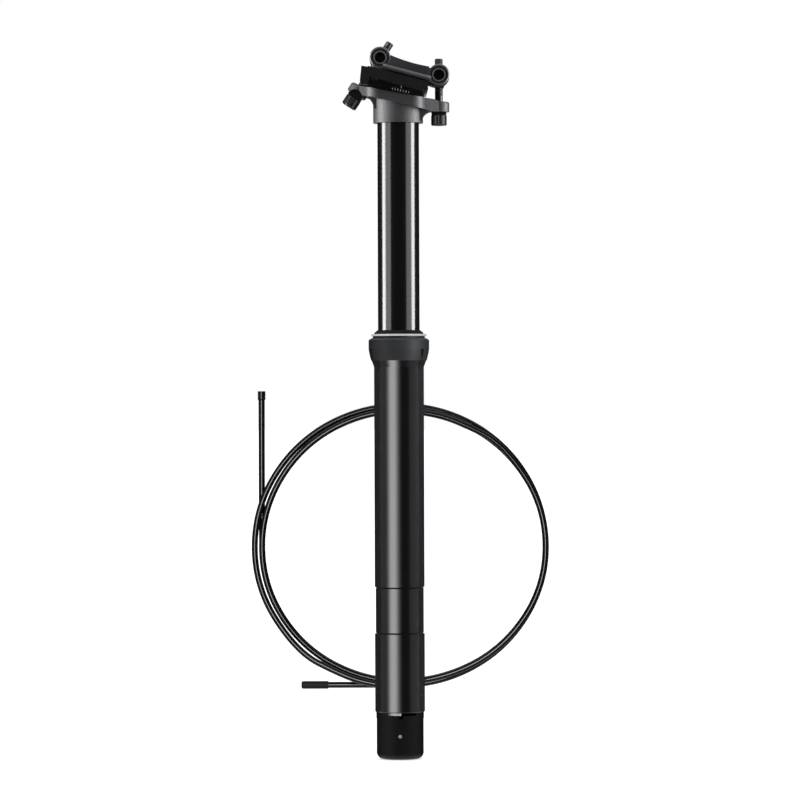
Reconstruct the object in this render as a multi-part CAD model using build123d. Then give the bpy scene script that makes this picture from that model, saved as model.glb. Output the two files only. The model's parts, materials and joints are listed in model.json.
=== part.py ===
from build123d import *
import os
from math import asin, atan2, ceil, cos, dist, inf, pi, radians, sin, sqrt, tan

# Dropper seatpost, in millimetres. +Z runs up the post's axis and +X points to the front of the
# bicycle. The origin is on the axis, at the top of the wall that a frame's seat tube clamps.

# Whole post
post_diameter = 31.6
stanchion_diameter = 26.4
travel = 125
exposed_length = 154.5
running_gap = 0.05
fit_gap = 0.1
cut_overrun = 5

# Outer tube
tube_length = 218.4
tube_wall = 1.8
clamp_length = 139.3
band_length = 29.6
band_depth = 0.57
line_width = 0.8
line_depth = 0.9
thread_depth = 0.4
thread_length = 16
tube_end_chamfer = 0.4
tube_flare_radius = 17.3
tube_flare_height = 4.1

# Guide keys, in pockets of the stanchion and in slots of the outer tube
key_count = 3
key_width = 3
key_length = 10
key_height = 2.2
key_pocket_depth = 0.9
key_slot_inset = 18.4

# Collar on the tube's top end
collar_radius = 19.2
collar_grip_low = 11.3
collar_grip_high = 17.1
collar_foot_radius = 17.6
collar_shoulder_radius = 17.3
collar_shoulder_height = 18.3
collar_neck_radius = 16.5
collar_height = 19.6
collar_bulge = 0.15
wrench_slot_count = 3
wrench_slot_width = 3
wrench_slot_floor = 17.3
wrench_slot_turn = 81
wrench_slot_high = 11.3

# Wiper and its ring
wiper_radius = 15
wiper_ring_radius = 17.5
wiper_ring_thickness = 1.2
wiper_rim_radius = 15.6
wiper_rim_height = 0.8
wiper_height = 7.3
wiper_lip_width = 0.4
wiper_lip_height = 0.9
wiper_relief = 0.65

# Bushings
upper_bushing_length = 36
lower_bushing_length = 13
lower_bushing_seat = 0.2
bushing_clip_thickness = 1

# Stanchion
stanchion_wall = 1.6
stanchion_foot = 72
stanchion_socket = 6

# Gas cartridge
cylinder_radius = 11.5
cylinder_wall = 1.5
cylinder_inset = 2.5
retainer_length = 8
retainer_bore_gap = 0.6
seal_head_length = 12
rod_seal_radius = 7.2
rod_seal_length = 3
rod_seal_offset = 4
bumper_radius = 9
bumper_thickness = 1.6
plug_length = 8
rod_radius = 5
rod_bore = 1.9
rod_stud_radius = 4
piston_stud_radius = 3.2
piston_length = 12
piston_clearance = 2
piston_groove_width = 3
piston_groove_depth = 1.5
piston_nut_flats = 10
piston_nut_length = 3.5
floating_piston_length = 8
floating_piston_room = 46
valve_pin_radius = 1.8
valve_pin_stop = 6

# Bottom of the outer tube
base_plug_inset = 16.4
base_plug_length = 6
base_bumper_length = 4
base_bumper_inner = 9
rod_nut_flats = 12
rod_nut_length = 5
rod_end_length = 1.5

# Actuator
actuator_radius = 14.9
actuator_length = 29.8
actuator_wall = 2.03
actuator_floor = 3.2
actuator_corner = 4.4
actuator_inner_corner = 3
rim_radius = 15.1
rim_height = 4
spigot_length = 9
spigot_wall = 1.8
window_left = -7.9
window_right = 10.1
window_height = 1.8
rim_notch_centre = 0.7
rim_notch_width = 2.3
clip_thickness = 1
clip_gap_left = 0.7
pivot_depth = 14.8
pivot_radius = 1.3
pin_chamfer = 0.3
lever_half_width = 2.5
lever_swing = 30
pin_lift = 1.6
cam_radius = 5
hub_radius = 3.4
arm_length = 7.2
arm_half_height = 2.2
arm_boss_radius = 3.3
barrel_radius = 2.2
cable_slot = 1
cable_radius = 0.8
button_radius = 4.2
button_height = 2.5
housing_stop_radius = 2.45
housing_stop_length = 7.2
housing_stop_boss = 4.4
housing_stop_lip = 1.4
spring_mean_radius = 2.6
spring_wire_radius = 0.35
spring_turns = 4
spring_pitch = 0.9
spring_gap = 0.3

# Head
deck_rise = 19
deck_pitch = 10.3
rear_deck_reach = 24.5
front_deck_reach = 22
deck_nose_reach = 31
deck_nose_drop = 3.2
bar_rear_depth = 5.7
bar_half_width = 17.2
bar_length = 38
bar_centre = -2
bar_corner = 9
arm_root_half_width = 12
arm_root_rear = -15
arm_root_front = 12
neck_radius = 15.8
neck_hollow_radius = 9
neck_hollow_height = 4
seat_radius = 40
seat_depth = 3.4
seat_centre = -1.6
cheek_thickness = 2
boss_radius = 6.6
rear_boss_height = 6.3
front_boss_height = 6.4
boss_clearance = 1.6
boss_round = 1.8
boss_edge = 0.7
deck_sag = 0.9
gusset_half_width = 8
gusset_rear_share = 0.52
gusset_front_share = 0.22
gusset_steps = 6
gusset_bite = 0.5

# Two-bolt saddle clamp. Its own frame has u along the rails to the front and w square to them.
clamp_pitch = 15
clamp_x = 4.8
clamp_rise = 8.5
rail_diameter = 7
rail_spacing = 44
lip_gap = 1.3
lip_rise = 1.2
clamp_half_width = 27.4

cradle_rear = 28.6
cradle_front = 15
cradle_rear_fall = 0.9
cradle_depth = 5.4
cradle_plate_drop = 1.6
cradle_plate_rear = 18
arm_inner = 17.6
foot_reach = 24.6
foot_depth = 8.7
foot_round = 2.7
foot_taper = 2.4
keel_half_width = 15
keel_rear = 22.3
keel_rear_top = 21.2
keel_ledge = 6.7
keel_rear_depth = 10.1
keel_bottom = 24
keel_ledge_front = 17.2
keel_front = 12.2
keel_toe = 15.8
keel_toe_top = 5.8
keel_toe_bottom = 8.1
keel_slot_half_width = 3.6
keel_slot_length = 6

upper_half_length = 15.6
upper_lip_top = 3.1
upper_shoulder_inset = 2.8
upper_shoulder_top = 4.7
upper_underside = 2.4
bridge_half_width = 17.2
bridge_rear = 13
bridge_front = 12.6
bridge_rear_top = 11.6
bridge_middle_top = 10.4
bridge_front_top = 10.8
spine_top = 10.6
rear_ear_reach = 19.05
rear_ear_height = 9.05
front_ear_reach = 19.7
front_ear_height = 8
ear_radius = 6.8
ear_half_width = 10
ear_chamfer = 0.7
lug_rise = 0.2
lug_half_width = 7
lug_half_length = 5
lug_round = 2

# Barrel nuts, half-round washers and bolts
nut_radius = 5
nut_half_length = 9.3
nut_recess_radius = 3.5
nut_recess_depth = 2.2
nut_bore = 2.9
nut_gap = 0.08
washer_radius = 4.8
washer_half_length = 4.9
bolt_radius = 2.5
bolt_hole_gap = 0.1
bolt_tip_chamfer = 0.5
bolt_head_radius = 5
bolt_head_length = 7
bolt_head_crown = 0.7
bolt_flute_count = 8
bolt_flute_radius = 0.8
bolt_socket_flats = 5
bolt_socket_depth = 3.2
rear_bolt_length = 41.4
front_bolt_length = 35.4
rear_pivot_x = -27.6
rear_pivot_drop = 2.5
front_pivot_drop = 13.6
swing_slot = 4.6
swing_slot_half_width = 3.1
boss_slot = 3.9

# Cable housing, one loose length behind the post
housing_diameter = 4
housing_clearance = 0.9
loop_x = 1.04
loop_z = -115
loop_left = 89.2
loop_bottom = 85.6
loop_right = 92.9
loop_top = 86.9
winding_pitch = 4.6
winding_depth = 10.6
winding_quarters = 6
parallel_share = 1e-9
leave_angle = 80
leave_radius = 87.2
back_bend_radius = 20
rejoin_angle = 260
rejoin_radius = 88.6
outer_left = 94
outer_left_depth = 5.7
outer_top = 90.1
outer_top_depth = 11.2
outer_right_depth = 13
outer_bottom = 88.5
outer_bottom_depth = 13.6
upper_tail_length = 94.2
upper_tail_lean = 2.4
ferrule_length = 5.8
ferrule_radius = 2.45
ferrule_floor = 0.9
ferrule_band_radius = 2.5
ferrule_band_length = 1
ferrule_groove_radius = 2.25
ferrule_groove_length = 0.4
ferrule_taper_length = 0.8
ferrule_mouth_radius = 2.15
lower_tail_length = 47
boot_length = 17.3
boot_radius = 2.5
boot_floor = 3
boot_round = 1.2

# Derived sizes that several pieces share
deck_height = exposed_length + deck_rise
clamp_z = deck_height + clamp_rise
rear_pivot_z = deck_height - rear_pivot_drop
front_pivot_z = deck_height - front_pivot_drop
cylinder_top = exposed_length - cylinder_inset
floating_piston_height = cylinder_top - plug_length - floating_piston_room
base_plug_depth = tube_length - base_plug_inset
key_slot_end = tube_length - key_slot_inset
tube_radius = post_diameter / 2
tube_bore = tube_radius - tube_wall
stanchion_radius = stanchion_diameter / 2
stanchion_bore = stanchion_radius - stanchion_wall
slide_bore = stanchion_radius + running_gap
slide_outer = tube_bore - running_gap
cylinder_bore = cylinder_radius - cylinder_wall
piston_radius = cylinder_bore - running_gap
rod_guide = rod_radius + running_gap
retainer_top = retainer_length - stanchion_foot
seal_head_top = retainer_top + seal_head_length
piston_low = seal_head_top + piston_clearance
piston_high = piston_low + piston_length
key_low = lower_bushing_length + bushing_clip_thickness - stanchion_foot + 2 * bushing_clip_thickness
actuator_top = -tube_length
actuator_bottom = actuator_top - actuator_length
actuator_bore = actuator_radius - actuator_wall
pivot_z = actuator_top - pivot_depth
cam_offset = pin_lift / radians(lever_swing)
button_low = pivot_z + cam_radius - cam_offset * sin(radians(lever_swing / 2)) + fit_gap
pitch = radians(clamp_pitch)
along = Vector(cos(pitch), 0, -sin(pitch))
upward = Vector(sin(pitch), 0, cos(pitch))
clamp_origin = Vector(clamp_x, 0, clamp_z)
side_plane = Plane(clamp_origin, x_dir=along, z_dir=(0, -1, 0))
section_plane = Plane(clamp_origin, x_dir=(0, 1, 0), z_dir=along)
rail_radius = rail_diameter / 2
rail_y = rail_spacing / 2


def deck_at(x):
    # Height of the bar's top face over a place on the X axis
    return deck_height - x * tan(radians(deck_pitch))


def clamp_point(u, w):
    return clamp_origin + along * u + upward * w


lean = radians(deck_pitch)
tilt_centre = Vector(seat_centre, 0, deck_at(seat_centre) - seat_depth)
tilt_centre += Vector(sin(lean), 0, cos(lean)) * seat_radius
rear_nut_centre = clamp_point(-rear_ear_reach, rear_ear_height)
front_nut_centre = clamp_point(front_ear_reach, front_ear_height)
rear_pivot = Vector(rear_pivot_x, 0, rear_pivot_z)
front_pivot = Vector(front_nut_centre.X, 0, front_pivot_z)
rear_axis = (rear_nut_centre - rear_pivot).normalized()
front_axis = (front_nut_centre - front_pivot).normalized()


def rod(radius, low, high):
    return Pos(0, 0, (low + high) / 2) * Cylinder(radius, high - low)


def tube(outer, inner, low, high):
    return rod(outer, low, high) - rod(inner, low - cut_overrun, high + cut_overrun)


def outlined(*lines):
    # A face inside lines that meet end to end
    return make_face([edge for line in lines for edge in line.edges()])


def turned(points):
    # A solid turned about Z from its half outline, given as radius and height
    return revolve(Plane.XZ * make_face(Polyline(*points, close=True)), Axis.Z)


def block(low, high):
    # A box between two corners
    size = [b - a for a, b in zip(low, high)]
    centre = [(a + b) / 2 for a, b in zip(low, high)]
    return Pos(*centre) * Box(*size)


def hexagon(flats, low, high):
    outline = RegularPolygon(flats / 2, 6, major_radius=False)
    return Pos(0, 0, low) * extrude(outline, high - low)


def across(radius, half_width, x=0, z=0):
    # A cylinder that lies along Y
    return Pos(x, 0, z) * Rot(90, 0, 0) * Cylinder(radius, 2 * half_width)


def around(count, piece, first=0):
    return [Rot(0, 0, first + 360 / count * i) * piece for i in range(count)]


def outer_tube():
    band_low = -clamp_length - band_length
    body = tube(tube_radius, tube_bore, -tube_length, 0)
    body += tube(tube_radius - thread_depth, tube_bore, 0, thread_length)
    body += turned([(tube_bore, 0), (tube_radius, 0), (tube_flare_radius, tube_flare_height),
                    (tube_bore, tube_flare_height)])
    large = tube_radius + cut_overrun
    body -= tube(large, tube_radius - band_depth, band_low, -clamp_length)
    for line_top in (-clamp_length, band_low + line_width):
        body -= tube(large, tube_radius - line_depth, line_top - line_width, line_top)
    slot_top = key_low + key_length + key_width / 2
    reach = stanchion_radius - key_pocket_depth + key_height + fit_gap
    half = key_width / 2 + fit_gap
    slot = block((tube_bore - tube_wall, -half, -key_slot_end), (reach, half, slot_top))
    body -= around(key_count, slot)
    return chamfer(body.edges().filter_by(GeomType.CIRCLE).sort_by(Axis.Z)[:2], tube_end_chamfer)


def collar():
    foot = (collar_foot_radius, tube_flare_height)
    grip = (collar_radius, collar_grip_low)
    middle = ((foot[0] + grip[0]) / 2 + collar_bulge, (foot[1] + grip[1]) / 2)
    inner = tube_radius - thread_depth
    outline = outlined(
        Line((inner, tube_flare_height), foot),
        ThreePointArc(foot, middle, grip),
        Polyline(
            grip,
            (collar_radius, collar_grip_high),
            (collar_shoulder_radius, collar_shoulder_height),
            (collar_neck_radius, collar_shoulder_height),
            (collar_neck_radius, collar_height),
            (wiper_radius, collar_height),
            (wiper_radius, thread_length),
            (inner, thread_length),
            (inner, tube_flare_height),
        ),
    )
    body = revolve(Plane.XZ * outline, Axis.Z)
    half = wrench_slot_width / 2
    low = (wrench_slot_floor, -half, 0)
    slot = block(low, (collar_radius + cut_overrun, half, wrench_slot_high))
    return body - around(wrench_slot_count, slot, first=wrench_slot_turn)


def wiper_ring():
    return tube(wiper_ring_radius, wiper_radius, collar_height, collar_height + wiper_ring_thickness)


def wiper_seal():
    ring_top = collar_height + wiper_ring_thickness
    top = thread_length + wiper_height
    throat = slide_bore + wiper_relief
    return turned([
        (slide_bore, thread_length),
        (wiper_radius, thread_length),
        (wiper_radius, ring_top),
        (wiper_rim_radius, ring_top),
        (wiper_rim_radius, ring_top + wiper_rim_height),
        (slide_bore + wiper_lip_width, top),
        (slide_bore, top),
        (slide_bore, top - wiper_lip_height),
        (throat, ring_top),
        (throat, thread_length + wiper_lip_height + wiper_relief),
        (slide_bore, thread_length + wiper_lip_height),
    ])


def upper_bushing():
    return tube(tube_bore, slide_bore, thread_length - upper_bushing_length, thread_length)


def base_plug():
    low = -base_plug_depth - base_plug_length
    return tube(tube_bore, rod_stud_radius, low, -base_plug_depth)


def base_bumper():
    top = base_bumper_length - base_plug_depth
    return tube(stanchion_radius, base_bumper_inner, -base_plug_depth, top)


def rod_nut():
    top = -base_plug_depth - base_plug_length
    return hexagon(rod_nut_flats, top - rod_nut_length, top) - rod(rod_stud_radius, 2 * top, 0)


def piston_rod():
    low = -base_plug_depth - base_plug_length - rod_nut_length - rod_end_length
    nut_top = piston_high + piston_nut_length
    body = rod(rod_stud_radius, low, -base_plug_depth)
    body += rod(rod_radius, -base_plug_depth, piston_low)
    body += rod(piston_stud_radius, piston_low, nut_top)
    return body - rod(rod_bore, low - cut_overrun, nut_top + cut_overrun)


def piston():
    groove_low = (piston_low + piston_high - piston_groove_width) / 2
    floor = piston_radius - piston_groove_depth
    groove = tube(2 * piston_radius, floor, groove_low, groove_low + piston_groove_width)
    return tube(piston_radius, piston_stud_radius, piston_low, piston_high) - groove


def piston_seal():
    low = (piston_low + piston_high - piston_groove_width) / 2
    return tube(piston_radius, piston_radius - piston_groove_depth, low, low + piston_groove_width)


def piston_nut():
    body = hexagon(piston_nut_flats, piston_high, piston_high + piston_nut_length)
    return body - rod(piston_stud_radius, piston_high - cut_overrun, piston_high + cut_overrun)


def valve_pin():
    pin_top = piston_high + piston_nut_length - valve_pin_stop
    body = rod(valve_pin_radius, button_low + button_height, pin_top)
    return body + rod(button_radius, button_low, button_low + button_height)


def seal_head():
    body = tube(cylinder_bore, rod_guide, retainer_top, seal_head_top)
    groove_low = retainer_top + rod_seal_offset
    return body - rod(rod_seal_radius, groove_low, groove_low + rod_seal_length)


def rod_seal():
    low = retainer_top + rod_seal_offset
    return tube(rod_seal_radius, rod_guide, low, low + rod_seal_length)


def top_out_bumper():
    inner = rod_radius + retainer_bore_gap
    return tube(bumper_radius, inner, seal_head_top, seal_head_top + bumper_thickness)


def gas_cylinder():
    return tube(cylinder_radius, cylinder_bore, retainer_top, cylinder_top)


def cylinder_plug():
    return rod(cylinder_bore, cylinder_top - plug_length, cylinder_top)


def cartridge_retainer():
    return tube(stanchion_bore, rod_radius + retainer_bore_gap, -stanchion_foot, retainer_top)


def floating_piston():
    top = floating_piston_height + floating_piston_length
    groove_low = (floating_piston_height + top - piston_groove_width) / 2
    floor = piston_radius - piston_groove_depth
    groove = tube(2 * piston_radius, floor, groove_low, groove_low + piston_groove_width)
    return rod(piston_radius, floating_piston_height, top) - groove


def floating_piston_seal():
    middle = floating_piston_height + floating_piston_length / 2
    half = piston_groove_width / 2
    return tube(piston_radius, piston_radius - piston_groove_depth, middle - half, middle + half)


def stanchion():
    seat_high = lower_bushing_length + bushing_clip_thickness - stanchion_foot
    body = tube(stanchion_radius, stanchion_bore, -stanchion_foot, exposed_length + stanchion_socket)
    seat_radius_small = stanchion_radius - lower_bushing_seat
    body -= tube(2 * stanchion_radius, seat_radius_small, -stanchion_foot - cut_overrun, seat_high)
    return body - guide_keys()


def guide_keys():
    inner = stanchion_radius - key_pocket_depth
    half = key_width / 2
    key = block((inner, -half, key_low), (inner + key_height, half, key_low + key_length))
    return Part() + around(key_count, key)


def lower_bushing():
    low = bushing_clip_thickness - stanchion_foot
    inner = stanchion_radius - lower_bushing_seat
    return tube(slide_outer, inner, low, low + lower_bushing_length)


def bushing_clip():
    inner = stanchion_radius - lower_bushing_seat
    outer = tube_bore - fit_gap - running_gap
    return tube(outer, inner, -stanchion_foot, bushing_clip_thickness - stanchion_foot)


def actuator_housing():
    spigot_bore = tube_bore - spigot_wall
    top = actuator_top + spigot_length
    rim_low = actuator_top - rim_height
    corner_z = actuator_bottom + actuator_corner
    corner_x = actuator_radius - actuator_corner
    half_diagonal = sin(radians(45)) * actuator_corner
    floor = actuator_bottom + actuator_floor
    outline = outlined(
        Polyline(
            (0, actuator_bottom),
            (0, floor),
            (actuator_bore - actuator_inner_corner, floor),
            (actuator_bore, floor + actuator_inner_corner),
            (actuator_bore, actuator_top),
            (spigot_bore, actuator_top),
            (spigot_bore, top),
            (tube_bore, top),
            (tube_bore, actuator_top),
            (rim_radius, actuator_top),
            (rim_radius, rim_low),
            (actuator_radius, rim_low),
            (actuator_radius, corner_z),
        ),
        ThreePointArc(
            (actuator_radius, corner_z),
            (corner_x + half_diagonal, corner_z - half_diagonal),
            (corner_x, actuator_bottom),
        ),
        Line((corner_x, actuator_bottom), (0, actuator_bottom)),
    )
    body = revolve(Plane.XZ * outline, Axis.Z)
    boss_top = actuator_bottom + housing_stop_length + housing_stop_lip
    body += Pos(-arm_length, 0, 0) * rod(housing_stop_boss, actuator_bottom + actuator_floor / 2, boss_top)
    stop = actuator_bottom + housing_stop_length
    body -= Pos(-arm_length, 0, 0) * rod(housing_stop_radius, actuator_bottom - cut_overrun, stop)
    body -= Pos(-arm_length, 0, 0) * rod(cable_radius + fit_gap, stop, boss_top + cut_overrun)
    body -= across(pivot_radius, actuator_radius + cut_overrun, 0, pivot_z)
    window_low = actuator_top - window_height
    front = -rim_radius - cut_overrun
    body -= block((window_left, front, window_low), (window_right, 0, actuator_top))
    notch_left = rim_notch_centre - rim_notch_width / 2
    notch_right = rim_notch_centre + rim_notch_width / 2
    return body - block((notch_left, front, rim_low), (notch_right, 0, actuator_top))


def retaining_clip():
    # An open ring inside the window, with its gap to the right of its middle
    ring = tube(actuator_bore, actuator_bore - clip_thickness, actuator_top - window_height, actuator_top)
    low_corner = (clip_gap_left, -rim_radius, actuator_top - rim_height)
    return ring - block(low_corner, (window_right, 0, actuator_top + rim_height))


def lever_pin():
    body = across(pivot_radius, actuator_radius - fit_gap, 0, pivot_z)
    return chamfer(body.edges().filter_by(GeomType.CIRCLE), pin_chamfer)


def at_rest(shape):
    # The lever is drawn level and turned to the start of its swing
    return Pos(0, 0, pivot_z) * Rot(0, lever_swing / 2, 0) * shape


def actuator_lever():
    outline = Pos(cam_offset, 0) * Circle(cam_radius) + Circle(hub_radius)
    outline += Pos(-arm_length, 0) * Circle(arm_boss_radius)
    outline += Pos(-arm_length / 2, 0) * Rectangle(arm_length, 2 * arm_half_height)
    body = extrude(Plane.XZ * outline, lever_half_width, both=True)
    body -= across(pivot_radius + running_gap, 2 * lever_half_width)
    body -= across(barrel_radius, 2 * lever_half_width, -arm_length)
    reach = -arm_length - arm_boss_radius - cut_overrun
    slot_end = -hub_radius - fit_gap
    body -= block((reach, -cable_slot, -cut_overrun), (slot_end, cable_slot, cut_overrun))
    return at_rest(body)


def cable_barrel():
    body = across(barrel_radius, lever_half_width, -arm_length)
    return at_rest(body) - at_rest(Pos(-arm_length, 0, 0) * Rot(0, -lever_swing / 2, 0)
                                   * Cylinder(cable_radius, 4 * barrel_radius))


def head():
    rear_top = (-rear_deck_reach, deck_at(-rear_deck_reach))
    front_top = (front_deck_reach, deck_at(front_deck_reach))
    nose_top = (deck_nose_reach, front_top[1] - deck_nose_drop)
    boss_face = front_pivot_z + boss_clearance
    nose_low = (deck_nose_reach, boss_face)
    front_low = (front_deck_reach, boss_face)
    rear_low = (-rear_deck_reach, rear_top[1] - bar_rear_depth)
    deck_middle = ((rear_top[0] + front_top[0]) / 2, (rear_top[1] + front_top[1]) / 2 - deck_sag)
    side = outlined(
        ThreePointArc(rear_top, deck_middle, front_top),
        Polyline(front_top, nose_top, nose_low, front_low, rear_low, rear_top),
    )
    plan = Pos(bar_centre, 0) * RectangleRounded(bar_length, 2 * bar_half_width, bar_corner)
    for root, tip in ((arm_root_rear, rear_pivot_x), (arm_root_front, front_pivot.X)):
        near = [(root, arm_root_half_width), (root, -arm_root_half_width)]
        far = [(tip, -boss_radius), (tip, boss_radius)]
        plan += make_face(Polyline(*near, *far, close=True))
    plan += Pos(front_pivot.X, 0) * Circle(boss_radius)
    wing = extrude(Plane.XZ * side, bar_half_width + cut_overrun, both=True)
    wing = wing & extrude(Pos(0, 0, exposed_length) * plan, deck_height, dir=(0, 0, 1))

    # The bosses stand square to their bolts
    rear_boss = Pos(0, 0, boss_clearance) * extrude(Circle(boss_radius), rear_boss_height)
    rear_boss = fillet(rear_boss.edges().sort_by(Axis.Z)[-1], boss_round)
    rear_boss = chamfer(rear_boss.edges().sort_by(Axis.Z)[0], boss_edge)
    front_boss = Pos(0, 0, boss_clearance) * extrude(Circle(boss_radius), front_boss_height)
    front_boss = chamfer(front_boss.edges().sort_by(Axis.Z)[-1], boss_edge)
    body = wing + Plane(rear_pivot, z_dir=rear_axis) * rear_boss
    body += Plane(front_pivot, z_dir=front_axis) * front_boss

    # The neck, and the web that runs through it under the wings
    body += rod(neck_radius, exposed_length, deck_at(neck_radius) - fit_gap)
    rear_foot_rise = (rear_low[1] - exposed_length) * gusset_rear_share
    rear_foot = (gusset_bite - neck_radius, exposed_length + rear_foot_rise)
    rear_edge = (rear_low[0] + gusset_bite, rear_low[1] + gusset_bite)
    front_foot_rise = (boss_face - exposed_length) * gusset_front_share
    front_foot = (neck_radius - gusset_bite, exposed_length + front_foot_rise)
    front_edge = (front_deck_reach, boss_face + gusset_bite)
    turns = [radians(90) * i / gusset_steps for i in range(gusset_steps + 1)]
    hollows = [
        (rear_edge[0] + (rear_foot[0] - rear_edge[0]) * sin(t),
         rear_foot[1] + (rear_edge[1] - rear_foot[1]) * cos(t)) for t in turns
    ] + [
        (front_edge[0] - (front_edge[0] - front_foot[0]) * cos(t),
         front_foot[1] + (front_edge[1] - front_foot[1]) * sin(t)) for t in turns
    ]
    web = make_face(Polyline(*hollows, close=True))
    body += extrude(Plane.XZ * web, gusset_half_width, both=True)

    # Socket of the stanchion, seat of the cradle, seats and slots of the bolts
    socket_top = exposed_length + stanchion_socket
    body -= rod(stanchion_radius, 0, socket_top)
    body -= rod(neck_hollow_radius, 0, socket_top + neck_hollow_height)
    seat_half = bar_half_width - cheek_thickness
    body -= across(seat_radius, seat_half, tilt_centre.X, tilt_centre.Z)
    for pivot, axis, half in ((rear_pivot, rear_axis, 2 * boss_radius),
                              (front_pivot, front_axis, washer_half_length + fit_gap)):
        body -= across(washer_radius + running_gap, half, pivot.X, pivot.Z)
        slot = Box(2 * boss_slot, 2 * swing_slot_half_width, 4 * boss_radius)
        body -= Plane(pivot, x_dir=(axis.Z, 0, -axis.X), z_dir=axis) * slot
        face = Pos(0, 0, boss_clearance / 2) * Box(2 * washer_radius, 4 * boss_radius, boss_clearance)
        body -= Plane(pivot, x_dir=(axis.Z, 0, -axis.X), z_dir=axis) * face
    return body


def cradle():
    lip = lip_rise - lip_gap / 2
    section = make_face(Polyline(
        (arm_inner, lip), (clamp_half_width, lip), (clamp_half_width, -cradle_depth),
        (arm_inner, -cradle_depth), close=True,
    )) - Pos(rail_y, 0) * Circle(rail_radius)
    section = Sketch() + section + mirror(section, Plane.YZ)
    start = section_plane.offset(-foot_reach)
    body = extrude(start * section, foot_reach + cradle_front)
    plate = make_face(Polyline(
        (-cradle_plate_rear, -cradle_plate_drop), (cradle_front, -cradle_plate_drop),
        (cradle_front, -cradle_depth), (-cradle_plate_rear, -cradle_depth), close=True,
    ))
    body += extrude(side_plane * plate, arm_inner, both=True)

    # The keel rests in the head's round seat
    keel = make_face(Polyline(
        (-keel_ledge_front, -cradle_plate_drop), (keel_front, -cradle_plate_drop),
        (keel_front, -keel_toe_top), (keel_toe, -keel_toe_bottom), (keel_toe, -keel_bottom),
        (-keel_rear, -keel_bottom), (-keel_rear, -keel_rear_depth), (-keel_rear_top, -keel_ledge),
        (-keel_ledge_front, -keel_ledge), close=True,
    ))
    keel = extrude(side_plane * keel, keel_half_width, both=True)
    body += keel & across(seat_radius - running_gap, clamp_half_width, tilt_centre.X, tilt_centre.Z)
    slot = make_face(Polyline(
        (-keel_rear - cut_overrun, -keel_bottom), (keel_slot_length - keel_rear, -keel_bottom),
        (keel_slot_length - keel_rear, lip), (-keel_rear - cut_overrun, lip), close=True,
    ))
    body -= extrude(side_plane * slot, keel_slot_half_width, both=True)

    # The rear end of each arm stands upright and ends in a rounded foot
    across_foot = Vector(cos(pitch), sin(pitch)) * foot_round
    foot_middle = Vector(-foot_reach, -foot_depth)
    rear_side = foot_middle - across_foot
    front_side = foot_middle + across_foot
    foot = make_face(Polyline(
        (-cradle_rear, lip - cradle_rear_fall), (rear_side.X, rear_side.Y), (front_side.X, front_side.Y),
        (front_side.X + foot_taper, lip), close=True,
    )) + Pos(-foot_reach, -foot_depth) * Circle(foot_round)
    half_width = (clamp_half_width - arm_inner) / 2
    foot = extrude(side_plane * foot, half_width, both=True)
    hollow = Plane(clamp_point(0, 0), z_dir=along) * Cylinder(rail_radius, 4 * cradle_rear)
    for side in (-1, 1):
        body += Pos(0, side * (arm_inner + half_width), 0) * foot
    for side in (-1, 1):
        body -= Pos(0, side * rail_y, 0) * hollow
    return body


def upper_clamp():
    lip = lip_rise + lip_gap / 2
    shoulder = (clamp_half_width - upper_shoulder_inset, upper_shoulder_top)
    half = make_face(Polyline(
        (0, upper_underside), (arm_inner - lip_gap, upper_underside), (arm_inner, lip),
        (clamp_half_width, lip), (clamp_half_width, upper_lip_top), shoulder,
        (0, upper_shoulder_top), close=True,
    )) - Pos(rail_y, 0) * Circle(rail_radius)
    section = Sketch() + half + mirror(half, Plane.YZ)
    body = extrude(section_plane.offset(-upper_half_length) * section, 2 * upper_half_length)

    # The bridge has a hollow top between the two ears
    bridge = outlined(
        ThreePointArc(
            (-bridge_rear, bridge_rear_top), (0, bridge_middle_top), (bridge_front, bridge_front_top),
        ),
        Polyline(
            (bridge_front, bridge_front_top), (bridge_front, upper_underside),
            (-bridge_rear, upper_underside), (-bridge_rear, bridge_rear_top),
        ),
    )
    body += extrude(side_plane * bridge, bridge_half_width, both=True)
    spine = make_face(Polyline(
        (-rear_ear_reach, lip), (front_ear_reach, lip),
        (front_ear_reach, spine_top), (-rear_ear_reach, spine_top),
        close=True,
    ))
    lug = Pos(front_ear_reach, (front_ear_height + lug_rise) / 2)
    lug *= RectangleRounded(2 * lug_half_length, front_ear_height - lug_rise, lug_round)
    body += extrude(side_plane * spine, ear_half_width, both=True)
    body += extrude(side_plane * lug, lug_half_width, both=True)
    for centre in (rear_nut_centre, front_nut_centre):
        ear = across(ear_radius, ear_half_width)
        ear = chamfer(ear.edges().filter_by(GeomType.CIRCLE), ear_chamfer)
        body += Pos(*centre) * ear
    for centre, axis in ((rear_nut_centre, rear_axis), (front_nut_centre, front_axis)):
        body -= across(nut_radius + nut_gap, 2 * ear_half_width, centre.X, centre.Z)
        slot = Box(2 * swing_slot, 2 * swing_slot_half_width, 4 * ear_radius)
        body -= Plane(centre, x_dir=(axis.Z, 0, -axis.X), z_dir=axis) * slot
    return body


def barrel_nut(centre, axis):
    body = across(nut_radius, nut_half_length)
    for side in (-1, 1):
        floor = side * (nut_half_length - nut_recess_depth / 2)
        body -= Pos(0, floor, 0) * across(nut_recess_radius, nut_recess_depth / 2)
    body -= Plane(Vector(0, 0, 0), z_dir=axis) * Cylinder(nut_bore, 4 * nut_radius)
    return Pos(*centre) * body


def half_washer(pivot, axis):
    # Half a cylinder: its round side turns in the boss and its flat side takes the bolt's head
    frame = Plane(pivot, x_dir=(axis.Z, 0, -axis.X), z_dir=axis)
    body = across(washer_radius, washer_half_length)
    below = -washer_radius - cut_overrun
    body -= block((below, below, below), (-below, -below, 0))
    return frame * (body - Cylinder(bolt_radius + bolt_hole_gap, 4 * washer_radius))


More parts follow.
